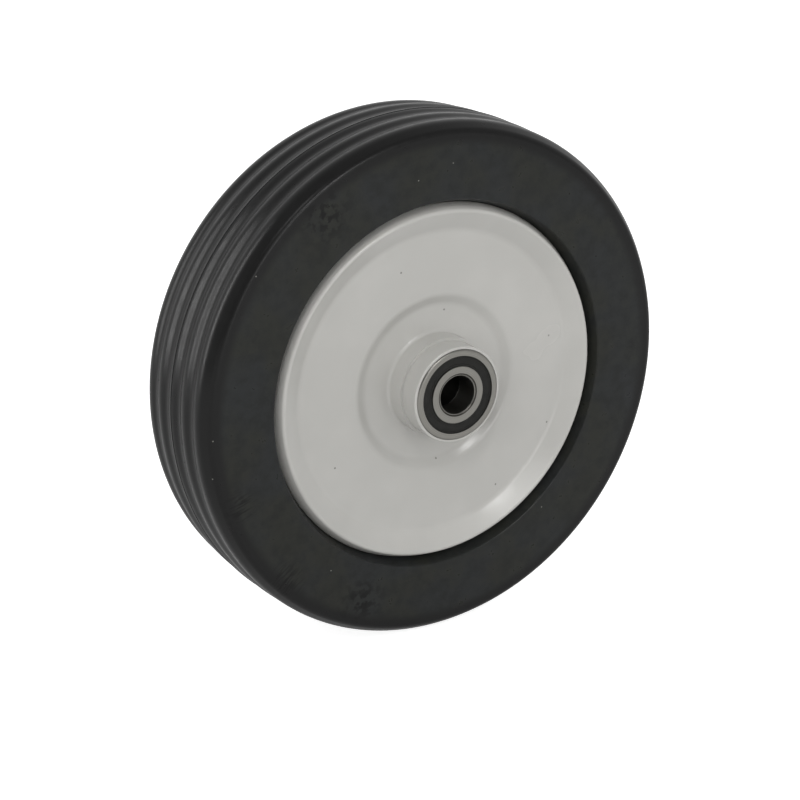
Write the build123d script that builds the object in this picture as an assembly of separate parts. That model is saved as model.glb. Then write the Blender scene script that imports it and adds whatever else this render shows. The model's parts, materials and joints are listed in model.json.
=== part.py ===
from build123d import *

import os
from math import cos, radians, sqrt, tan

# A solid-tyred wheel on two sealed ball bearings.
# Millimetres. The axle runs along Y, the wheel's middle plane is XZ, and +Z is up.
# The front of the wheel is its -Y side. Sections are drawn with X as the radius and Y along the axle.

# Driving dimensions: tyre
tyre_diameter = 200.0
tyre_width = 47.6
shoulder_drop = 3.6  # how far the shoulder corner lies below the crown, on the radius
shoulder_round = 2.8
crown_drop = 0.4  # how far the outer ribs lie below the middle rib, on the radius
shoulder_width = 5.1  # from the sidewall to the crest of the outer rib
rib_count = 5
rib_flank = 20.0  # degrees from the tread
rib_round = 3.2
bead_round = 4.0  # inner corner of the sidewall, beside the rim

# Driving dimensions: pressed discs
sheet = 1.0
rim_diameter = 138.2
web_recess = 5.2  # flat web below the tyre's sidewall
band_width = 10.3  # sloping band between the flat web and the rim, on the radius
band_slope = 31.0  # degrees
lip_round = 3.5
dish_width = 14.6  # from the collar to where the flat web starts, on the radius
dish_depth = 2.0
dish_wall_width = 3.8  # sloping wall at the outside of the dish, on the radius
crease_round = 5.0
collar_height = 8.2
collar_root_round = 1.3
collar_edge_round = 0.6

# Driving dimensions: hub tube and distance tube
hub_length = 66.2
hub_wall = 1.0  # round the bearing seats
hub_shoulder = 2.0  # height of the shoulder behind each bearing
hub_edge_round = 0.45
spacer_wall = 2.2
spacer_clearance = 0.3  # on the radius, round the axle

# Driving dimensions: ball bearing, 15 x 35 x 11
bearing_bore = 15.0
bearing_diameter = 35.0
bearing_width = 11.0
bearing_stand_out = 0.4  # how far each bearing stands out of its seat
ball_diameter = 5.953
ball_count = 8
ball_clearance = 0.02  # between a ball and each raceway
raceway_ratio = 0.516  # raceway radius as a share of the ball's diameter
ring_edge_round = 0.9
inner_land_inset = 1.6  # from the ball centres in to the inner ring's lands
outer_land_inset = 1.9  # from the ball centres out to the outer ring's lands
seal_thickness = 1.1
seal_recess = 0.45  # seal's face below the ring faces
seal_mouth_wall = 2.45  # from the bearing's outside to the seal's mouth
seal_bead = 0.4  # depth of the groove that the seal's rim snaps into
seal_fit = 0.02  # round the seal's rim
seal_lip_clearance = 0.08  # between the seal's lip and the inner ring
seal_lip_width = 0.9
seal_rim_width = 1.15
seal_relief = 0.2  # sunk ring between the seal's lip and rim

# Driving dimensions: ball cage
cage_sheet = 0.5
cage_gap = 0.5  # between the cage's edges and the ring lands
cage_clearance = 0.06  # between a ball and its pocket
rivet_diameter = 0.9
rivet_head_diameter = 1.4
rivet_head_height = 0.4

# Worked out from the driving dimensions
tyre_radius = tyre_diameter / 2
rim_radius = rim_diameter / 2
rib_pitch = (tyre_width - 2 * shoulder_width) / (rib_count - 1)
web_level = tyre_width / 2 - web_recess
hub_radius = bearing_diameter / 2 + hub_wall
collar_radius = hub_radius + sheet
ball_radius = ball_diameter / 2
pitch_radius = (bearing_bore + bearing_diameter) / 4
raceway_radius = raceway_ratio * ball_diameter
inner_land = pitch_radius - inner_land_inset
outer_land = pitch_radius + outer_land_inset
seal_mouth = bearing_diameter / 2 - seal_mouth_wall
cage_inner = inner_land + cage_gap
cage_outer = outer_land - cage_gap
half_hub = hub_length / 2
half_ring = bearing_width / 2
seat_depth = bearing_width - bearing_stand_out
bearing_place = half_hub + bearing_stand_out - half_ring
spacer_length = 2 * (bearing_place - half_ring)


def turned(outline, rounds):
    """A solid turned about the axle from a closed outline of (radius, along the axle) points."""
    section = make_face(FilletPolyline(*outline, radius=rounds, close=True))
    return revolve(section, Axis.Y)


def along_axle(shape):
    """Turns a shape made about Z so that it lies about the axle."""
    return Rot(X=-90) * shape


def shifted(points, distance):
    """The points of a bent line moved sideways by a distance, to the right of its run, corners mitred."""
    runs = []
    for start, end in zip(points, points[1:]):
        length = sqrt((end[0] - start[0]) ** 2 + (end[1] - start[1]) ** 2)
        along = ((end[0] - start[0]) / length, (end[1] - start[1]) / length)
        aside = (along[1] * distance, -along[0] * distance)
        runs.append(((start[0] + aside[0], start[1] + aside[1]), along))
    moved = [runs[0][0]]
    for (first, first_along), (second, second_along) in zip(runs, runs[1:]):
        turn = first_along[0] * second_along[1] - first_along[1] * second_along[0]
        gap = (second[0] - first[0], second[1] - first[1])
        reach = (gap[0] * second_along[1] - gap[1] * second_along[0]) / turn
        moved.append((first[0] + reach * first_along[0], first[1] + reach * first_along[1]))
    last = points[-1]
    along = runs[-1][1]
    moved.append((last[0] + along[1] * distance, last[1] - along[0] * distance))
    return moved


def make_tyre():
    """Solid rubber tyre: rounded ribs round the tread, flat sidewalls, bore on the rim."""
    half_width = tyre_width / 2
    lift = rib_round * (1 / cos(radians(rib_flank)) - 1)  # what rounding takes off a rib's point
    groove = rib_pitch / 2 * tan(radians(rib_flank))
    outer_rib = (rib_count - 1) / 2 * rib_pitch
    tread = []
    for rib in range(rib_count):
        place = rib * rib_pitch - outer_rib
        crest = tyre_radius - crown_drop * (place / outer_rib) ** 2 + lift
        tread.append((crest, place))
        if rib < rib_count - 1:
            valley = place + rib_pitch / 2
            crown = tyre_radius - crown_drop * (valley / outer_rib) ** 2 + lift
            tread.append((crown - groove, valley))
    shoulder = tyre_radius - shoulder_drop
    outline = [(rim_radius, -half_width), (shoulder, -half_width)]
    outline += tread
    outline += [(shoulder, half_width), (rim_radius, half_width)]
    rounds = [bead_round, shoulder_round] + [rib_round] * len(tread) + [shoulder_round, bead_round]
    return turned(outline, rounds)


def make_disc():
    """Front disc, pressed from one sheet: collar, dish, flat web, band, rolled lip, rim to the middle."""
    dish_radius = collar_radius + dish_width
    floor_radius = dish_radius - dish_wall_width
    band_radius = rim_radius - band_width
    floor = web_level - dish_depth
    lip_corner = web_level + band_width * tan(radians(band_slope))
    face = [
        (collar_radius, -floor - collar_height),
        (collar_radius, -floor),
        (floor_radius, -floor),
        (dish_radius, -web_level),
        (band_radius, -web_level),
        (rim_radius, -lip_corner),
        (rim_radius, 0),
    ]
    back = shifted(face, -sheet)
    face_rounds = [collar_edge_round, collar_root_round] + [crease_round] * 3 + [lip_round, 0]
    back_rounds = [
        0,
        collar_root_round + sheet,
        crease_round + sheet,
        crease_round - sheet,
        crease_round + sheet,
        lip_round - sheet,
        0,
    ]
    return turned(face + back[::-1], face_rounds + back_rounds[::-1])


def make_hub_tube():
    """Turned tube with a bearing seat in each end and a shoulder behind each seat."""
    seat_radius = bearing_diameter / 2
    shoulder_radius = seat_radius - hub_shoulder
    seat_end = half_hub - seat_depth
    outline = [
        (shoulder_radius, -seat_end),
        (seat_radius, -seat_end),
        (seat_radius, -half_hub),
        (hub_radius, -half_hub),
        (hub_radius, half_hub),
        (seat_radius, half_hub),
        (seat_radius, seat_end),
        (shoulder_radius, seat_end),
    ]
    return turned(outline, [0, 0, 0, hub_edge_round, hub_edge_round, 0, 0, 0])


def make_spacer_tube():
    """Distance tube between the two inner rings."""
    bore = bearing_bore / 2 + spacer_clearance
    outside = bore + spacer_wall
    half = spacer_length / 2
    outline = [
        (bore, -half),
        (outside, -half),
        (outside, half),
        (bore, half),
    ]
    return turned(outline, 0)


def make_outer_ring():
    """Outer ring: raceway, lands, and a groove at each end for the rim of a seal."""
    outside = bearing_diameter / 2
    groove = seal_mouth + seal_bead
    seal_face = half_ring - seal_recess
    seal_back = seal_face - seal_thickness
    outline = [
        (outside, -half_ring),
        (outside, half_ring),
        (seal_mouth, half_ring),
        (seal_mouth, seal_face),
        (groove, seal_face),
        (groove, seal_back),
        (outer_land, seal_back),
        (outer_land, -seal_back),
        (groove, -seal_back),
        (groove, -seal_face),
        (seal_mouth, -seal_face),
        (seal_mouth, -half_ring),
    ]
    rounds = [ring_edge_round] * 2 + [0] * 10
    raceway_centre = pitch_radius + ball_radius + ball_clearance - raceway_radius
    raceway = along_axle(Torus(raceway_centre, raceway_radius))
    return turned(outline, rounds) - raceway


def make_inner_ring():
    """Inner ring: bore for the axle, raceway between two lands."""
    bore = bearing_bore / 2
    outline = [
        (bore, -half_ring),
        (inner_land, -half_ring),
        (inner_land, half_ring),
        (bore, half_ring),
    ]
    raceway_centre = pitch_radius - ball_radius - ball_clearance + raceway_radius
    raceway = along_axle(Torus(raceway_centre, raceway_radius))
    return turned(outline, [ring_edge_round, 0, 0, ring_edge_round]) - raceway


def make_seal():
    """Rubber seal on the -Y side of a bearing: rim in the outer ring, lip round the inner ring."""
    lip = inner_land + seal_lip_clearance
    rim = seal_mouth + seal_bead - seal_fit
    face = half_ring - seal_recess - seal_fit
    back = half_ring - seal_recess - seal_thickness + seal_fit
    relief_inner = lip + seal_lip_width
    relief_outer = rim - seal_rim_width
    outline = [
        (lip, -back),
        (rim, -back),
        (rim, -face),
        (relief_outer + seal_relief, -face),
        (relief_outer, -face + seal_relief),
        (relief_inner, -face + seal_relief),
        (relief_inner - seal_relief, -face),
        (lip, -face),
    ]
    return turned(outline, 0)


def ball_places():
    """Places of the ball centres round a bearing, the first one at the top."""
    step = 360 / ball_count
    return [Rot(Y=step * ball) * Pos(Z=pitch_radius) for ball in range(ball_count)]


def rivet_places():
    """Places of the cage rivets, half-way between the balls and in the middle of the ribbon."""
    step = 360 / ball_count
    middle = (cage_inner + cage_outer) / 2
    return [Rot(Y=step * (rivet + 0.5)) * Pos(Z=middle) for rivet in range(ball_count)]


def cage_blank(depth):
    """A plain ring as wide as the cage's ribbon, reaching to -Y by a depth."""
    return turned([(cage_inner, 0), (cage_outer, 0), (cage_outer, -depth), (cage_inner, -depth)], 0)


def make_cage_half():
    """Half of a pressed ribbon cage, on the -Y side: flats between half-round ball pockets."""
    pocket = ball_radius + cage_clearance
    height = pocket + cage_sheet
    reach = 2 * (cage_outer - cage_inner)
    flat = cage_blank(cage_sheet)
    blank = cage_blank(height)
    swells = [place * Cylinder(height, reach) for place in ball_places()]
    pockets = [place * Cylinder(pocket, reach) for place in ball_places()]
    holes = [place * along_axle(Cylinder(rivet_diameter / 2, reach)) for place in rivet_places()]
    ribbon = flat + [blank & swell for swell in swells]
    return ribbon - pockets - holes


def make_cage_rivets():
    """Rivets through both cage halves, with a head on each side."""
    shank = along_axle(Cylinder(rivet_diameter / 2, 2 * cage_sheet))
    head = along_axle(Cylinder(rivet_head_diameter / 2, rivet_head_height))
    head_place = cage_sheet + rivet_head_height / 2
    rivet = shank + Pos(Y=head_place) * head + Pos(Y=-head_place) * head
    return Compound(children=[place * rivet for place in rivet_places()])


def make_pieces():
    """Every piece of the wheel by name, in its place."""
    disc = make_disc()
    pieces = {
        "tyre": make_tyre(),
        "front_disc": disc,
        "rear_disc": Rot(Z=180) * disc,
        "hub_tube": make_hub_tube(),
        "spacer_tube": make_spacer_tube(),
    }
    outer_ring = make_outer_ring()
    inner_ring = make_inner_ring()
    cage_half = make_cage_half()
    rivets = make_cage_rivets()
    seal = make_seal()
    for end, way in (("front", -1), ("rear", 1)):
        place = Pos(Y=way * bearing_place)
        outward = place if way < 0 else place * Rot(Z=180)
        inward = outward * Rot(Z=180)
        pieces[f"{end}_outer_ring"] = place * outer_ring
        pieces[f"{end}_inner_ring"] = place * inner_ring
        pieces[f"{end}_outer_seal"] = outward * seal
        pieces[f"{end}_inner_seal"] = inward * seal
        pieces[f"{end}_cage_outer"] = outward * cage_half
        pieces[f"{end}_cage_inner"] = inward * cage_half
        pieces[f"{end}_cage_rivets"] = place * rivets
        for number, ball_place in enumerate(ball_places(), start=1):
            pieces[f"{end}_ball_{number}"] = place * ball_place * Sphere(ball_radius)
    return pieces


os.makedirs("parts", exist_ok=True)
for name, piece in make_pieces().items():
    export_step(piece, f"parts/{name}.step")
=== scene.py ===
import json
from math import cos, pi, radians, sin, tan

import bmesh
import bpy
from mathutils import Matrix, Vector

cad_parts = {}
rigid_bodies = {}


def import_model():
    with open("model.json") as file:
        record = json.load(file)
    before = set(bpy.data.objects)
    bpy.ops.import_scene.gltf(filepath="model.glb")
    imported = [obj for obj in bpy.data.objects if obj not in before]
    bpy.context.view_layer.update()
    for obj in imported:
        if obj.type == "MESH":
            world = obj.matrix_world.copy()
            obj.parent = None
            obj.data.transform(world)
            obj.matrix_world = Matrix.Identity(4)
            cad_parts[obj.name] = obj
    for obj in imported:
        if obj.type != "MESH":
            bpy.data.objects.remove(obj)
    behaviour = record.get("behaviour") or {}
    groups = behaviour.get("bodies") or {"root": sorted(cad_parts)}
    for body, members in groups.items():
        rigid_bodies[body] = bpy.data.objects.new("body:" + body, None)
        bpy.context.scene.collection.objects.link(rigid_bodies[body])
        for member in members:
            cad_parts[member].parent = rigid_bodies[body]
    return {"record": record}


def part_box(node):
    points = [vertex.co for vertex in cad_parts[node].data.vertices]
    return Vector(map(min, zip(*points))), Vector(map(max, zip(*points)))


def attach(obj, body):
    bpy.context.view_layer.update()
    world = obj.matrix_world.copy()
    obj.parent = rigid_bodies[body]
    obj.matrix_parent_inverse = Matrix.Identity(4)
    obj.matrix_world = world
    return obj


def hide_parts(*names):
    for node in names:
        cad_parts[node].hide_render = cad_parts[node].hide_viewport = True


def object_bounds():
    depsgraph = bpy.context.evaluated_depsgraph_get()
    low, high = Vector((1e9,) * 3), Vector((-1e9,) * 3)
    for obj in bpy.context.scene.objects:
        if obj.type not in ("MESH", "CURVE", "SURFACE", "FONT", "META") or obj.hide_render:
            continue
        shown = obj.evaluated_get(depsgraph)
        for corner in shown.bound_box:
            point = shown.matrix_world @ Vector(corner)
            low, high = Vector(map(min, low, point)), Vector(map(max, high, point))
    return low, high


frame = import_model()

# %% [markdown]
# The wheel comes in as CAD nodes, in metres, with the axle along Y and the front of the wheel towards -Y.
# Its box is kept now and printed, and the table is set at its bottom.

# %% CAD box
cad_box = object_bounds()
scene = bpy.context.scene
scene.view_settings.view_transform = "Standard"
millimetre = 0.001
print("CAD box", cad_box)

# %% [markdown]
# Colours are written as sRGB hex values, the way a paint chip is read off a picture, and one function turns
# them to the linear light that shaders work in. One more function adds a node with its settings and links:
# inputs come in order or by name, each a value or another node, so a tree reads from top to bottom.

# %% Colours and nodes
def to_linear(hex_colour):
    """Linear RGBA from an sRGB hex colour."""
    channels = [int(hex_colour[place:place + 2], 16) / 255 for place in (1, 3, 5)]
    linear = [c / 12.92 if c <= 0.04045 else ((c + 0.055) / 1.055) ** 2.4 for c in channels]
    return (*linear, 1.0)


def add_node(tree, kind, settings=None, *terms, **inputs):
    """A node with its settings; inputs are values, sockets, or nodes whose first open output is linked."""
    node = tree.nodes.new(kind)
    for name, value in (settings or {}).items():
        setattr(node, name, value)
    open_inputs = [socket for socket in node.inputs if socket.enabled]
    pairs = list(zip(open_inputs, terms))
    pairs += [(node.inputs[name.replace("_", " ")], value) for name, value in inputs.items()]
    for socket, value in pairs:
        if isinstance(value, bpy.types.Node):
            value = next(output for output in value.outputs if output.enabled)
        if isinstance(value, bpy.types.NodeSocket):
            tree.links.new(value, socket)
        else:
            socket.default_value = value
    return node


def new_material(name):
    """A material with an empty node tree."""
    material = bpy.data.materials.new(name)
    material.use_nodes = True
    material.node_tree.nodes.clear()
    return material, material.node_tree


MATH = "ShaderNodeMath"
NOISE = "ShaderNodeTexNoise"
MIX = "ShaderNodeMix"
RANGE = "ShaderNodeMapRange"
ADD = {"operation": "ADD"}
SUBTRACT = {"operation": "SUBTRACT"}
MULTIPLY = {"operation": "MULTIPLY"}
DIVIDE = {"operation": "DIVIDE"}
POWER = {"operation": "POWER"}
ABSOLUTE = {"operation": "ABSOLUTE"}
MAXIMUM = {"operation": "MAXIMUM"}
LESS = {"operation": "LESS_THAN"}
NUMBER = {"data_type": "FLOAT"}
COLOUR = {"data_type": "RGBA"}
SOFT = {"interpolation_type": "SMOOTHSTEP"}
print("helpers ready")

# %% [markdown]
# The camera was found by fitting the wheel's circles to the photograph: the tyre's edges, the rolled lip,
# the dish and the bearing. It stands to the left of the front and a little above the axle, with a long lens.

# %% Camera
frame_pixels = 800
sensor_width = 36.0
focal_pixels = 2013.03
camera_azimuth = radians(-32.33)
camera_elevation = radians(19.64)
camera_roll = radians(1.86)
camera_distance = 0.76469
wheel_pixel = (408.64, 368.41)

to_camera = Vector((
    sin(camera_azimuth) * cos(camera_elevation),
    -cos(camera_azimuth) * cos(camera_elevation),
    sin(camera_elevation),
))
level_right = Vector((cos(camera_azimuth), sin(camera_azimuth), 0))
level_up = to_camera.cross(level_right)
right = cos(camera_roll) * level_right + sin(camera_roll) * level_up
up = cos(camera_roll) * level_up - sin(camera_roll) * level_right
metres_per_pixel = camera_distance / focal_pixels
aside = (wheel_pixel[0] - frame_pixels / 2) * metres_per_pixel
below = (wheel_pixel[1] - frame_pixels / 2) * metres_per_pixel
camera_data = bpy.data.cameras.new("camera")
camera_data.sensor_width = sensor_width
camera_data.lens = focal_pixels / frame_pixels * sensor_width
camera = bpy.data.objects.new("camera", camera_data)
scene.collection.objects.link(camera)
turn = Matrix((right, up, to_camera)).transposed().to_4x4()
place = to_camera * camera_distance - level_right * aside + level_up * below
camera.matrix_world = Matrix.Translation(place) @ turn
scene.camera = camera
print("camera lens", round(camera_data.lens, 2), "mm")

# %% [markdown]
# The wheel stands on a white table. For the camera, and less so in mirror images, the table also glows, so
# that it comes out as white as paper. The lamps still light its own colour, so the wheel's shadow falls on
# it, but the glow leaves only a trace of that shadow to see.

# %% White table
floor_size = 6.0
half = floor_size / 2
floor_level = cad_box[0][2]
floor_mesh = bpy.data.meshes.new("floor")
floor_corners = [(-half, -half), (half, -half), (half, half), (-half, half)]
floor_mesh.from_pydata([(x, y, floor_level) for x, y in floor_corners], [], [(0, 1, 2, 3)])
floor = bpy.data.objects.new("floor", floor_mesh)
scene.collection.objects.link(floor)

table_glow = 0.85
mirror_share = 0.3
material, tree = new_material("white_table")
ray = add_node(tree, "ShaderNodeLightPath").outputs
mirrored = add_node(tree, MATH, MAXIMUM, ray["Is Glossy Ray"], ray["Is Transmission Ray"])
mirrored_part = add_node(tree, MATH, MULTIPLY, mirrored, mirror_share)
shown = add_node(tree, MATH, MAXIMUM, ray["Is Camera Ray"], mirrored_part)
shader = add_node(
    tree,
    "ShaderNodeBsdfPrincipled",
    Base_Color=to_linear("#D8D8D8"),
    Roughness=1.0,
    Specular_IOR_Level=0.0,
    Emission_Color=to_linear("#FFFFFF"),
    Emission_Strength=add_node(tree, MATH, MULTIPLY, shown, table_glow),
)
add_node(tree, "ShaderNodeOutputMaterial", Surface=shader)
floor_mesh.materials.append(material)
print("table at", floor_level)

# %% [markdown]
# The studio is a white sweep behind the wheel that fades to a dim room behind the camera. Black rubber and
# glossy paint are drawn by what they mirror, so this fade is what makes the edges that face the camera dark
# and the far sides of the ribs bright. Seen directly, the room is plain white.

# %% Studio
sweep_light = 1.1
room_light = 0.15
world = bpy.data.worlds.new("studio")
scene.world = world
world.use_nodes = True
tree = world.node_tree
tree.nodes.clear()
direction = add_node(tree, "ShaderNodeTexCoord").outputs["Generated"]
towards = add_node(tree, "ShaderNodeVectorMath", {"operation": "DOT_PRODUCT"}, direction, to_camera)
fade = add_node(
    tree,
    RANGE,
    Value=towards.outputs["Value"],
    From_Min=-1.0,
    From_Max=1.0,
    To_Min=sweep_light,
    To_Max=room_light,
)
seen_directly = add_node(tree, "ShaderNodeLightPath").outputs["Is Camera Ray"]
strength = add_node(tree, MIX, NUMBER, seen_directly, fade, 1.0)
background = add_node(tree, "ShaderNodeBackground", Color=to_linear("#FFFFFF"), Strength=strength)
add_node(tree, "ShaderNodeOutputWorld", Surface=background)
print("studio ready")

# %% [markdown]
# Two large soft boxes fill the front evenly and show in no reflection. The panels that do show are the tall
# white one at the left, which draws the bright streaks along the tyre's ribs, small ones at the front and
# left for the gleam on the rim and on the bearing's edge, a small lamp high at the left for the pressed edges
# round the hub, and one high in front, whose glare lies on the lower right of the disc. The tall panel and
# the glare show in reflections alone, so that they don't wash out the black rubber.

# %% Lamps
def add_softbox(name, towards, distance, size, watts, mirrored=True, lights=True, tall=1):
    """A softbox that faces the wheel; it can be kept out of reflections, or show in them alone."""
    lamp = bpy.data.lights.new(name, "AREA")
    lamp.shape = "RECTANGLE"
    lamp.size = size
    lamp.size_y = size * tall
    lamp.energy = watts
    holder = bpy.data.objects.new(name, lamp)
    scene.collection.objects.link(holder)
    facing = Vector(towards).normalized()
    holder.location = facing * distance
    holder.rotation_euler = facing.to_track_quat("Z", "Y").to_euler()
    holder.visible_glossy = mirrored
    holder.visible_diffuse = lights


add_softbox("fill_left", (-0.85, -0.5, 0.45), distance=1.6, size=1.4, watts=12.5, mirrored=False)
add_softbox("fill_right", (0.55, -0.75, 0.6), distance=1.1, size=1.0, watts=3.5, mirrored=False)
add_softbox("left_panel", (-0.9, 0.4, 0.25), distance=1.3, size=0.26, watts=11, lights=False, tall=6)
add_softbox("front_panel", (0.1, -0.97, 0.1), distance=1.2, size=0.35, watts=1.5)
add_softbox("edge_panel", (-0.81, -0.57, 0.02), distance=1.5, size=0.3, watts=0.25)
add_softbox("glint_lamp", (-0.38, -0.58, 0.72), distance=1.6, size=0.12, watts=2.5)
add_softbox("glare_panel", (0.057, -0.905, 0.423), distance=1.5, size=0.26, watts=3.6, lights=False)
print("lamps ready")

# %% [markdown]
# The tyre is one piece of moulded rubber. Its outline follows a rule: bead, shoulder, then crests and valleys
# that alternate at half the rib pitch, and the same again on the other side. Geometry Nodes works the outline
# out from each point's number, counted from the middle crest, rounds every corner, and turns it on a lathe.
# A thin ring of flash, where the two halves of the mould met, runs round the middle crest.

# %% Tyre sizes
tyre_low, tyre_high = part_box("tyre")
rim_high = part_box("front_disc")[1]
rib_count = 5
rib_flank = radians(20)
rib_round = 5.6 * millimetre
shoulder_width = 5.1 * millimetre
tyre_sizes = {
    "Tyre Radius": 100 * millimetre,
    "Half Width": tyre_high[1],
    "Rim Radius": rim_high[0],
    "Bead Rise": 2.0 * millimetre,
    "Bead Depth": 6.0 * millimetre,
    "Crown Drop": 0.4 * millimetre,
    "Shoulder Drop": 3.6 * millimetre,
    "Shoulder Round": 2.8 * millimetre,
    "Bead Round": 0.7 * millimetre,
    "Rib Round": rib_round,
    "Rib Pitch": 2 * (tyre_high[1] - shoulder_width) / (rib_count - 1),
    "Rib Rise": rib_round * (1 / cos(rib_flank) - 1),
    "Rib Slope": tan(rib_flank),
    "Flash Radius": 0.16 * millimetre,
}
print("rib pitch", round(tyre_sizes["Rib Pitch"] / millimetre, 2), "mm")

# %% [markdown]
# Each size is an input of the tree, so that the same tree could make a tyre of another size.

# %% Tyre tree
tyre_tree = bpy.data.node_groups.new("ribbed_tyre", "GeometryNodeTree")
tree = tyre_tree
for name in tyre_sizes:
    tree.interface.new_socket(name=name, in_out="INPUT", socket_type="NodeSocketFloat")
tree.interface.new_socket(name="Rubber", in_out="INPUT", socket_type="NodeSocketMaterial")
tree.interface.new_socket(name="Geometry", in_out="OUTPUT", socket_type="NodeSocketGeometry")
size = add_node(tree, "NodeGroupInput").outputs
print("tyre tree takes", len(tyre_sizes), "sizes")

# %% [markdown]
# Each point of the outline works out its own place. Its count of steps from the middle crest says whether it
# is on the tread, the shoulder, the bead or the bore, and mix nodes use that to pick its radius, its place
# along the axle and the round of its corner.

# %% Tyre outline
side_points = rib_count + 2  # tread points to one side of the middle crest, then shoulder, bead and bore
number = add_node(tree, "GeometryNodeInputIndex")
from_middle = add_node(tree, MATH, SUBTRACT, number, side_points)
step = add_node(tree, MATH, ABSOLUTE, from_middle)
on_tread = add_node(tree, MATH, LESS, step, rib_count - 0.5)
on_shoulder = add_node(tree, MATH, LESS, step, rib_count + 0.5)
on_bead = add_node(tree, MATH, LESS, step, rib_count + 1.5)
in_valley = add_node(tree, MATH, {"operation": "MODULO"}, step, 2)
half_pitch = add_node(tree, MATH, MULTIPLY, size["Rib Pitch"], 0.5)
tread_place = add_node(tree, MATH, MULTIPLY, step, half_pitch)
outermost = add_node(tree, MATH, MULTIPLY, half_pitch, rib_count - 1)
crown_share = add_node(tree, MATH, POWER, add_node(tree, MATH, DIVIDE, tread_place, outermost), 2)
crown = add_node(tree, MATH, MULTIPLY, size["Crown Drop"], crown_share)
groove_depth = add_node(tree, MATH, MULTIPLY, half_pitch, size["Rib Slope"])
groove = add_node(tree, MATH, MULTIPLY, in_valley, groove_depth)
peak = add_node(tree, MATH, ADD, size["Tyre Radius"], size["Rib Rise"])
tread_radius = add_node(tree, MATH, SUBTRACT, add_node(tree, MATH, SUBTRACT, peak, crown), groove)
shoulder_radius = add_node(tree, MATH, SUBTRACT, size["Tyre Radius"], size["Shoulder Drop"])
bead_radius = add_node(tree, MATH, ADD, size["Rim Radius"], size["Bead Rise"])
bore_place = add_node(tree, MATH, SUBTRACT, size["Half Width"], size["Bead Depth"])
inner_radius = add_node(tree, MIX, NUMBER, on_bead, size["Rim Radius"], bead_radius)
inner_place = add_node(tree, MIX, NUMBER, on_bead, bore_place, size["Half Width"])
side_radius = add_node(tree, MIX, NUMBER, on_shoulder, inner_radius, shoulder_radius)
side_round = add_node(tree, MIX, NUMBER, on_shoulder, size["Bead Round"], size["Shoulder Round"])
radius = add_node(tree, MIX, NUMBER, on_tread, side_radius, tread_radius)
rounding = add_node(tree, MIX, NUMBER, on_tread, side_round, size["Rib Round"])
width_place = add_node(tree, MIX, NUMBER, on_tread, inner_place, tread_place)
side = add_node(tree, MATH, {"operation": "SIGN"}, from_middle)
along = add_node(tree, MATH, MULTIPLY, side, width_place)
outward = add_node(tree, MATH, SUBTRACT, radius, size["Rim Radius"])
point = add_node(tree, "ShaderNodeCombineXYZ", X=outward, Y=along)
print("tyre outline has", 2 * side_points + 1, "points")

# %% [markdown]
# The points become a closed curve with rounded corners, which is swept round a circle as on a lathe. The
# flash is a thin wire swept round a circle of its own.

# %% Tyre lathe
CIRCLE = "GeometryNodeCurvePrimitiveCircle"
round_steps = 8
lathe_steps = 288
flash_steps = 8
line = add_node(tree, "GeometryNodeMeshLine", Count=2 * side_points + 1)
placed = add_node(tree, "GeometryNodeSetPosition", Geometry=line, Position=point)
open_outline = add_node(tree, "GeometryNodeMeshToCurve", Mesh=placed)
outline = add_node(tree, "GeometryNodeSetSplineCyclic", Geometry=open_outline, Cyclic=True)
rounded = add_node(
    tree, "GeometryNodeFilletCurve", {"mode": "POLY"}, Curve=outline, Count=round_steps, Radius=rounding
)
mandrel = add_node(tree, CIRCLE, Resolution=lathe_steps, Radius=size["Rim Radius"])
body = add_node(tree, "GeometryNodeCurveToMesh", Curve=mandrel, Profile_Curve=rounded)
flash_path = add_node(tree, CIRCLE, Resolution=lathe_steps, Radius=size["Tyre Radius"])
flash_wire = add_node(tree, CIRCLE, Resolution=flash_steps, Radius=size["Flash Radius"])
flash = add_node(tree, "GeometryNodeCurveToMesh", Curve=flash_path, Profile_Curve=flash_wire)
joined = add_node(tree, "GeometryNodeJoinGeometry", Geometry=body)
tree.links.new(flash.outputs["Mesh"], joined.inputs["Geometry"])
turned = add_node(tree, "GeometryNodeTransform", Geometry=joined, Rotation=(pi / 2, 0, 0))
smooth = add_node(tree, "GeometryNodeSetShadeSmooth", None, turned)
real = add_node(tree, "GeometryNodeRealizeInstances", Geometry=smooth)
dressed = add_node(tree, "GeometryNodeSetMaterial", Geometry=real, Material=size["Rubber"])
add_node(tree, "NodeGroupOutput", Geometry=dressed)
print("tyre tree has", len(tree.nodes), "nodes")

# %% [markdown]
# The tyre is black rubber, moulded in a polished steel mould, so it is smooth with a low gloss. Wax that
# comes to the surface leaves cloudy patches on the walls, olive in one place and bluish in the next. The
# tread is drawn a darker black than the walls. Noise draws the clouds at the size that they have on the
# wheel, and the distance from the axle tells the wall from the tread.

# %% Rubber tone
bloom_size = 20 * millimetre
mottle_size = 5 * millimetre
tread_from = 90 * millimetre
tread_to = 94 * millimetre

rubber, tree = new_material("moulded_rubber")
spot = add_node(tree, "ShaderNodeTexCoord").outputs["Object"]
bloom = add_node(tree, NOISE, Vector=spot, Scale=1 / bloom_size, Detail=4.0, Roughness=0.6)
bloom_share = add_node(tree, RANGE, SOFT, Value=bloom, From_Min=0.38, From_Max=0.62)
tone = add_node(tree, MIX, COLOUR, bloom_share, to_linear("#232420"), to_linear("#222425"))
mottle = add_node(tree, NOISE, Vector=spot, Scale=1 / mottle_size, Detail=3.0, Roughness=0.65)
mottle_share = add_node(tree, RANGE, SOFT, Value=mottle, From_Min=0.35, From_Max=0.75, To_Max=0.7)
tone = add_node(tree, MIX, COLOUR, mottle_share, tone, to_linear("#161715"))
apart = add_node(tree, "ShaderNodeSeparateXYZ", Vector=spot).outputs
flat_spot = add_node(tree, "ShaderNodeCombineXYZ", X=apart["X"], Y=apart["Z"])
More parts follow.
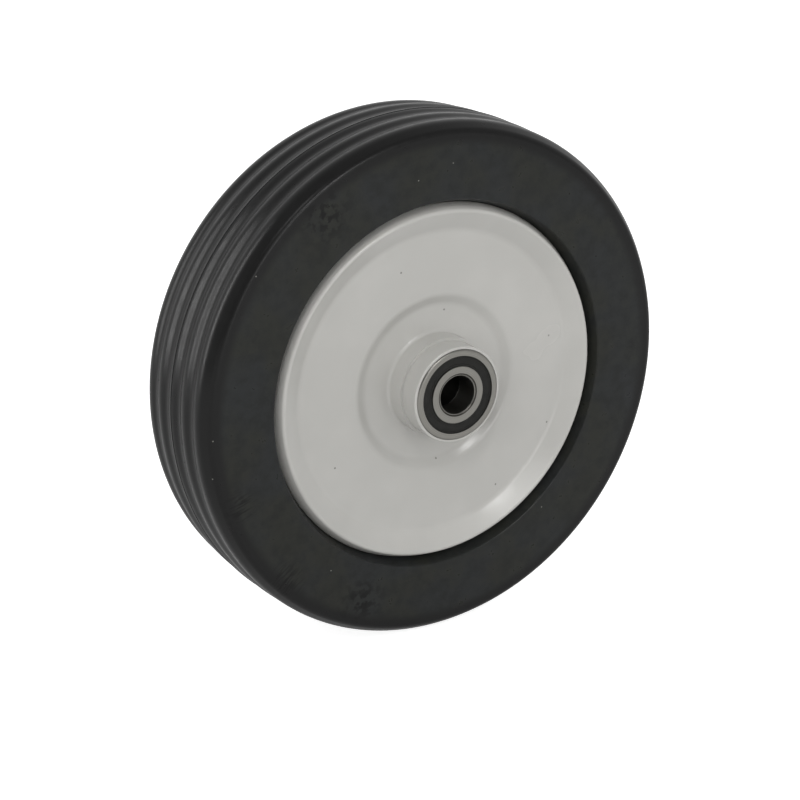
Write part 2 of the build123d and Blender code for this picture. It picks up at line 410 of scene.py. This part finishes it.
reach = add_node(tree, "ShaderNodeVectorMath", {"operation": "LENGTH"}, flat_spot).outputs["Value"]
tread = add_node(tree, RANGE, SOFT, Value=reach, From_Min=tread_from, From_Max=tread_to)
tone = add_node(tree, MIX, COLOUR, tread, tone, to_linear("#121212"))
print("rubber tone has", len(tree.nodes), "nodes")

# %% [markdown]
# Storage has left dark blots and short dark strokes on the front wall. The strokes are noise on spots that
# are measured outwards and round the axle, the blots are plain noise, and a soft round area keeps each kind
# in the place where it lies.

# %% Rubber marks
stroke_length = 5.0 * millimetre
stroke_width = 0.9 * millimetre
blot_size = 3.0 * millimetre
wall_radius = 90 * millimetre
front_wall = tyre_low[1]

angle = add_node(tree, MATH, {"operation": "ARCTAN2"}, apart["Z"], apart["X"])
stroke_spot = add_node(
    tree,
    "ShaderNodeCombineXYZ",
    X=add_node(tree, MATH, DIVIDE, reach, stroke_length),
    Y=add_node(tree, MATH, MULTIPLY, angle, wall_radius / stroke_width),
)
strokes = add_node(tree, NOISE, Vector=stroke_spot, Scale=1.0, Detail=1.0)
blots = add_node(tree, NOISE, Vector=spot, Scale=1 / blot_size, Detail=2.0)
marked_areas = [
    (strokes, (-85, -32), 9),
    (strokes, (-66, -65), 11),
    (blots, (-52, 71), 15),
    (blots, (-33, -80), 14),
]
marks = None
for pattern, (x, z), area_radius in marked_areas:
    centre = (x * millimetre, front_wall, z * millimetre)
    apart_from = add_node(tree, "ShaderNodeVectorMath", {"operation": "DISTANCE"}, spot, centre)
    inside = add_node(
        tree,
        RANGE,
        SOFT,
        Value=apart_from.outputs["Value"],
        From_Max=area_radius * millimetre,
        To_Min=1.0,
        To_Max=0.0,
    )
    drawn = add_node(tree, RANGE, SOFT, Value=pattern, From_Min=0.46, From_Max=0.6)
    mark = add_node(tree, MATH, MULTIPLY, inside, drawn)
    marks = mark if marks is None else add_node(tree, MATH, MAXIMUM, marks, mark)
tone = add_node(tree, MIX, COLOUR, marks, tone, to_linear("#050505"))
print("rubber has", len(marked_areas), "marked areas")

# %% [markdown]
# A few light specks of dust sit on the walls. A Voronoi pattern gives each speck a cell, and only a share of
# the cells holds one. A low, uneven gloss and a grain finish the skin. The grain is drawn coarser than it is,
# so that it shows.

# %% Rubber specks and skin
speck_spacing = 16 * millimetre
speck_radius = 0.26 * millimetre
speck_share = 0.12
wall_depth = 1 * millimetre
grain_size = 0.6 * millimetre
grain_depth = 0.05 * millimetre

cell = add_node(
    tree, "ShaderNodeTexVoronoi", {"voronoi_dimensions": "2D"}, Vector=flat_spot, Scale=1 / speck_spacing
).outputs
small = add_node(tree, MATH, LESS, cell["Distance"], speck_radius / speck_spacing)
lot = add_node(tree, "ShaderNodeSeparateColor", Color=cell["Color"])
chosen = add_node(tree, MATH, LESS, lot, speck_share)
from_centre = add_node(tree, MATH, ABSOLUTE, apart["Y"])
on_wall = add_node(tree, MATH, LESS, tyre_high[1] - wall_depth, from_centre)
speck = add_node(tree, MATH, MULTIPLY, add_node(tree, MATH, MULTIPLY, small, chosen), on_wall)
tone = add_node(tree, MIX, COLOUR, speck, tone, to_linear("#6E6E69"))

gloss = add_node(tree, RANGE, Value=mottle, From_Min=0.3, From_Max=0.7, To_Min=0.27, To_Max=0.36)
grain = add_node(tree, NOISE, Vector=spot, Scale=1 / grain_size, Detail=2.0)
skin = add_node(tree, "ShaderNodeBump", Strength=0.1, Distance=grain_depth, Height=grain)
shader = add_node(
    tree,
    "ShaderNodeBsdfPrincipled",
    Base_Color=tone,
    Roughness=gloss,
    Specular_IOR_Level=0.22,
    Normal=skin,
)
add_node(tree, "ShaderNodeOutputMaterial", Surface=shader)
print("moulded_rubber has", len(tree.nodes), "nodes")

# %% [markdown]
# The pressed discs and the hub tube are sprayed with light grey enamel and baked. Baked enamel is glossy,
# its skin has the faint ripple that painters call orange peel, and the pale grey drifts a little from place
# to place. Dust in the wet paint left a few tiny dark pits.

# %% Baked enamel
drift_size = 35 * millimetre
peel_size = 2.4 * millimetre
peel_depth = 0.05 * millimetre
pit_spacing = 24 * millimetre
pit_radius = 0.4 * millimetre
pit_share = 0.3

enamel, tree = new_material("baked_enamel")
spot = add_node(tree, "ShaderNodeTexCoord").outputs["Object"]
drift = add_node(tree, NOISE, Vector=spot, Scale=1 / drift_size, Detail=3.0)
drift_share = add_node(tree, RANGE, SOFT, Value=drift, From_Min=0.35, From_Max=0.65)
tone = add_node(tree, MIX, COLOUR, drift_share, to_linear("#B3B2AE"), to_linear("#B8B7B3"))
apart = add_node(tree, "ShaderNodeSeparateXYZ", Vector=spot).outputs
flat_spot = add_node(tree, "ShaderNodeCombineXYZ", X=apart["X"], Y=apart["Z"])
cell = add_node(
    tree, "ShaderNodeTexVoronoi", {"voronoi_dimensions": "2D"}, Vector=flat_spot, Scale=1 / pit_spacing
).outputs
small = add_node(tree, MATH, LESS, cell["Distance"], pit_radius / pit_spacing)
lot = add_node(tree, "ShaderNodeSeparateColor", Color=cell["Color"])
chosen = add_node(tree, MATH, LESS, lot, pit_share)
pit = add_node(tree, MATH, MULTIPLY, small, chosen)
tone = add_node(tree, MIX, COLOUR, pit, tone, to_linear("#83827E"))
gloss = add_node(tree, RANGE, Value=drift, From_Min=0.3, From_Max=0.7, To_Min=0.2, To_Max=0.28)
peel = add_node(tree, NOISE, Vector=spot, Scale=1 / peel_size, Detail=1.0)
skin = add_node(tree, "ShaderNodeBump", Strength=0.12, Distance=peel_depth, Height=peel)
shader = add_node(tree, "ShaderNodeBsdfPrincipled", Base_Color=tone, Roughness=gloss, Normal=skin)
add_node(tree, "ShaderNodeOutputMaterial", Surface=shader)
print("baked_enamel has", len(tree.nodes), "nodes")

# %% [markdown]
# Bearing rings are hardened steel, ground on their faces. Grinding leaves fine lines that run round the ring,
# so the steel looks satin and a little streaked from the bore outwards. Real lines are finer than a pixel and
# are drawn coarser here, so that they show. The round at the bore's edge isn't ground: it stays as dark as it
# came from the hardening furnace.

# %% Ground bearing steel
line_spacing = 0.22 * millimetre
edge_from = 7.8 * millimetre
edge_to = 8.35 * millimetre

bearing_steel, tree = new_material("ground_bearing_steel")
spot = add_node(tree, "ShaderNodeTexCoord").outputs["Object"]
apart = add_node(tree, "ShaderNodeSeparateXYZ", Vector=spot).outputs
flat_spot = add_node(tree, "ShaderNodeCombineXYZ", X=apart["X"], Y=apart["Z"])
reach = add_node(tree, "ShaderNodeVectorMath", {"operation": "LENGTH"}, flat_spot).outputs["Value"]
lines = add_node(
    tree,
    NOISE,
    {"noise_dimensions": "1D"},
    W=add_node(tree, MATH, DIVIDE, reach, line_spacing),
    Scale=1.0,
    Detail=2.0,
)
tone = add_node(tree, MIX, COLOUR, lines, to_linear("#6E6D69"), to_linear("#9E9C96"))
past_bore = add_node(tree, MATH, LESS, edge_from, reach)
before_face = add_node(tree, MATH, LESS, reach, edge_to)
on_edge = add_node(tree, MATH, MULTIPLY, past_bore, before_face)
tone = add_node(tree, MIX, COLOUR, on_edge, tone, to_linear("#3C3A37"))
gloss = add_node(tree, RANGE, Value=lines, From_Min=0.3, From_Max=0.7, To_Min=0.3, To_Max=0.42)
shader = add_node(tree, "ShaderNodeBsdfPrincipled", Base_Color=tone, Roughness=gloss, Metallic=1.0)
add_node(tree, "ShaderNodeOutputMaterial", Surface=shader)
print("ground_bearing_steel has", len(tree.nodes), "nodes")

# %% [markdown]
# The bearing's seals are black rubber moulded onto a steel washer. The mould is fine-blasted, so the rubber
# is matt, and a film of grease shifts its shade a little. The blasted grain is drawn coarser than it is.

# %% Moulded seal rubber
grease_size = 3 * millimetre
blast_size = 0.25 * millimetre
blast_depth = 0.04 * millimetre

seal_rubber, tree = new_material("moulded_seal_rubber")
spot = add_node(tree, "ShaderNodeTexCoord").outputs["Object"]
grease = add_node(tree, NOISE, Vector=spot, Scale=1 / grease_size, Detail=3.0)
tone = add_node(tree, MIX, COLOUR, grease, to_linear("#161614"), to_linear("#222220"))
gloss = add_node(tree, RANGE, Value=grease, From_Min=0.3, From_Max=0.7, To_Min=0.6, To_Max=0.45)
blast = add_node(tree, NOISE, Vector=spot, Scale=1 / blast_size, Detail=1.0)
skin = add_node(tree, "ShaderNodeBump", Strength=0.2, Distance=blast_depth, Height=blast)
shader = add_node(
    tree, "ShaderNodeBsdfPrincipled", Base_Color=tone, Roughness=gloss, Specular_IOR_Level=0.2, Normal=skin
)
add_node(tree, "ShaderNodeOutputMaterial", Surface=shader)
print("moulded_seal_rubber has", len(tree.nodes), "nodes")

# %% [markdown]
# The steels inside are plain: a drawn distance tube with long draw lines, cage ribbon that is rolled and
# tumbled, and balls that are lapped to a mirror. The tube is coloured nearly black, which is painted shade
# for its place deep inside the bore. They differ in tone and gloss, and in the shape of the faint pattern
# that working left on them.

# %% Inner steels
def worked_steel(name, dark, light, pattern_size, stretch, rough_range):
    """Steel whose shade and gloss follow noise that may be stretched along the axle."""
    material, tree = new_material(name)
    spot = add_node(tree, "ShaderNodeTexCoord").outputs["Object"]
    drawn = add_node(tree, "ShaderNodeMapping", Vector=spot, Scale=(1.0, 1.0 / stretch, 1.0))
    streak = add_node(tree, NOISE, Vector=drawn, Scale=1 / pattern_size, Detail=2.0)
    tone = add_node(tree, MIX, COLOUR, streak, to_linear(dark), to_linear(light))
    gloss = add_node(
        tree, RANGE, Value=streak, From_Min=0.3, From_Max=0.7, To_Min=rough_range[0], To_Max=rough_range[1]
    )
    shader = add_node(tree, "ShaderNodeBsdfPrincipled", Base_Color=tone, Roughness=gloss, Metallic=1.0)
    add_node(tree, "ShaderNodeOutputMaterial", Surface=shader)
    return material


# The distance tube's near-black tone is painted shade for its place deep inside the bore; the draw lines lie
# on top of it.
tube_steel_and_painted_shade = worked_steel("drawn_tube_painted_shade", "#2C2B29", "#3E3C39", 0.8 * millimetre, 12, (0.45, 0.6))
rolled_steel = worked_steel("rolled_cage_steel", "#8A8884", "#A3A19C", 1.5 * millimetre, 1, (0.35, 0.5))
lapped_steel = worked_steel("lapped_ball_steel", "#BDBBB7", "#C6C4C0", 2 * millimetre, 1, (0.06, 0.1))
print("three inner steels")

# %% [markdown]
# Every CAD node takes the finish of its material slot from the record. Most nodes keep their shape too: only
# the tyre and the two discs are replaced, further down, by pieces with finer edges.

# %% Finishes on the nodes
finishes = {
    "tyre_rubber": rubber,
    "disc_paint": enamel,
    "spacer_steel": tube_steel_and_painted_shade,
    "bearing_steel": bearing_steel,
    "seal_rubber": seal_rubber,
    "cage_steel": rolled_steel,
    "ball_steel": lapped_steel,
}
for subpart in frame["record"]["subparts"]:
    node = bpy.data.objects[subpart["node"]]
    node.data.materials.clear()
    node.data.materials.append(finishes[subpart["material_slot"]])

# %% [markdown]
# The tyre tree is run once, with its sizes in metres, and the result becomes a plain mesh that stands for
# the CAD tyre and turns with the wheel.

# %% Tyre
holder = bpy.data.objects.new("moulded_tyre", bpy.data.meshes.new("moulded_tyre"))
scene.collection.objects.link(holder)
modifier = holder.modifiers.new("ribbed_tyre", "NODES")
modifier.node_group = tyre_tree
values = {**tyre_sizes, "Rubber": rubber}
for socket in tyre_tree.interface.items_tree:
    if socket.in_out == "INPUT":
        modifier[socket.identifier] = values[socket.name]
bpy.context.view_layer.update()
seen = holder.evaluated_get(bpy.context.evaluated_depsgraph_get())
tyre_mesh = bpy.data.meshes.new_from_object(seen)
holder.modifiers.remove(modifier)
holder.data = tyre_mesh
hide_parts("tyre")
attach(holder, "wheel")
print("tyre has", len(tyre_mesh.polygons), "faces")

# %% [markdown]
# Each disc is one pressed sheet of steel: a collar round the hub, a shallow dish, a flat web, a sloping band
# and a lip that turns back into the rim. Its section is a bent line with a round at every bend. Python puts
# the rounds in, sets a second line one sheet thickness behind it, and turns the closed outline on a lathe,
# because a pressing has the same section all the way round.

# %% Lathe
crease_angle = radians(35)


def rounded_line(points, rounds, steps=8):
    """A bent line of (radius, along the axle) points with an arc of the given radius at each inner bend."""
    line = [Vector(points[0])]
    for before, bend, after, bend_round in zip(points, points[1:], points[2:], rounds):
        bend = Vector(bend)
        back = (Vector(before) - bend).normalized()
        ahead = (Vector(after) - bend).normalized()
        half_angle = back.angle(ahead) / 2
        centre = bend + (back + ahead).normalized() * (bend_round / sin(half_angle))
        first = bend + back * (bend_round / tan(half_angle)) - centre
        last = bend + ahead * (bend_round / tan(half_angle)) - centre
        line += [centre + first.slerp(last, step / steps) * bend_round for step in range(steps + 1)]
    line.append(Vector(points[-1]))
    return line


def lathe(name, outline, steps):
    """A piece turned about the axle from a closed outline, with its faces outwards and round edges smooth."""
    count = len(outline)
    corners = []
    faces = []
    for turn in range(steps):
        angle = 2 * pi * turn / steps
        corners += [(point.x * cos(angle), point.y, point.x * sin(angle)) for point in outline]
        here = turn * count
        there = (turn + 1) % steps * count
        for place in range(count):
            after = (place + 1) % count
            faces.append((here + place, here + after, there + after, there + place))
    mesh = bpy.data.meshes.new(name)
    mesh.from_pydata(corners, [], faces)
    shell = bmesh.new()
    shell.from_mesh(mesh)
    if shell.calc_volume(signed=True) < 0:
        bmesh.ops.reverse_faces(shell, faces=shell.faces)
    shell.to_mesh(mesh)
    shell.free()
    mesh.shade_smooth()
    mesh.set_sharp_from_angle(angle=crease_angle)
    piece = bpy.data.objects.new(name, mesh)
    scene.collection.objects.link(piece)
    return piece


print("lathe ready")

# %% [markdown]
# The section is in millimetres, as radius and place along the axle, from the collar's end to the middle of
# the rim. The collar's root and the lip are bent tightly, the rest in easy rounds. The rear disc is the front
# one's mirror image.

# %% Pressed discs
sheet = 1.0
disc_low, disc_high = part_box("front_disc")
collar_end = disc_low[1] / millimetre
collar_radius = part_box("hub_tube")[1][0] / millimetre + sheet
rim_radius = disc_high[0] / millimetre
web_level = -18.6
dish_level = -16.6
dish_floor_radius = 30.3
dish_radius = 34.1
band_radius = 58.8
lip_corner = (66.8, -23.1)
lip_foot = -18.4
collar_round = 1.3
dish_round = 5.0
band_round = 5.0
lip_round = 1.2
rim_round = 2.0
pressing_steps = 240
face_points = [
    (collar_radius, collar_end),
    (collar_radius, dish_level),
    (dish_floor_radius, dish_level),
    (dish_radius, web_level),
    (band_radius, web_level),
    lip_corner,
    (rim_radius, lip_foot),
    (rim_radius, 0),
]
face_rounds = [collar_round, dish_round, dish_round, band_round, lip_round, rim_round]
face_line = rounded_line(face_points, face_rounds)
behind = []
for before, point, after in zip(face_line[:1] + face_line, face_line, face_line[1:] + face_line[-1:]):
    run = (after - before).normalized()
    behind.append(point + Vector((-run.y, run.x)) * sheet)
section = [point * millimetre for point in face_line + behind[::-1]]
for name, node, way in (("pressed_front_disc", "front_disc", 1), ("pressed_rear_disc", "rear_disc", -1)):
    disc = lathe(name, [Vector((point.x, way * point.y)) for point in section], pressing_steps)
    disc.data.materials.append(enamel)
    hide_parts(node)
    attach(disc, "wheel")
print("disc section has", len(section), "points")

# %% [markdown]
# Round the mouth of each bearing's bore runs a fine bright bead, where the grinding wheel broke the edge
# between the dark round and the bore. It is a thin ring that lies on the round.

# %% Bore beads
bead_radius = 7.62 * millimetre
bead_wire = 0.18 * millimetre
bead_inset = 0.45 * millimetre
wire_steps = 10
bead_steps = 96
for end, corner, way in (("front", 0, 1), ("rear", 1, -1)):
    bead_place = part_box(f"{end}_inner_ring")[corner][1] + way * bead_inset
    wire = []
    for step in range(wire_steps):
        angle = 2 * pi * step / wire_steps
        wire.append(Vector((bead_radius + bead_wire * cos(angle), bead_place + bead_wire * sin(angle))))
    bead = lathe(f"{end}_bore_bead", wire, bead_steps)
    bead.data.materials.append(bearing_steel)
    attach(bead, "axle_set")
print("two bore beads")

# %% [markdown]
# Last, the script says that it has come to the end.

# %% End
print("scene built")
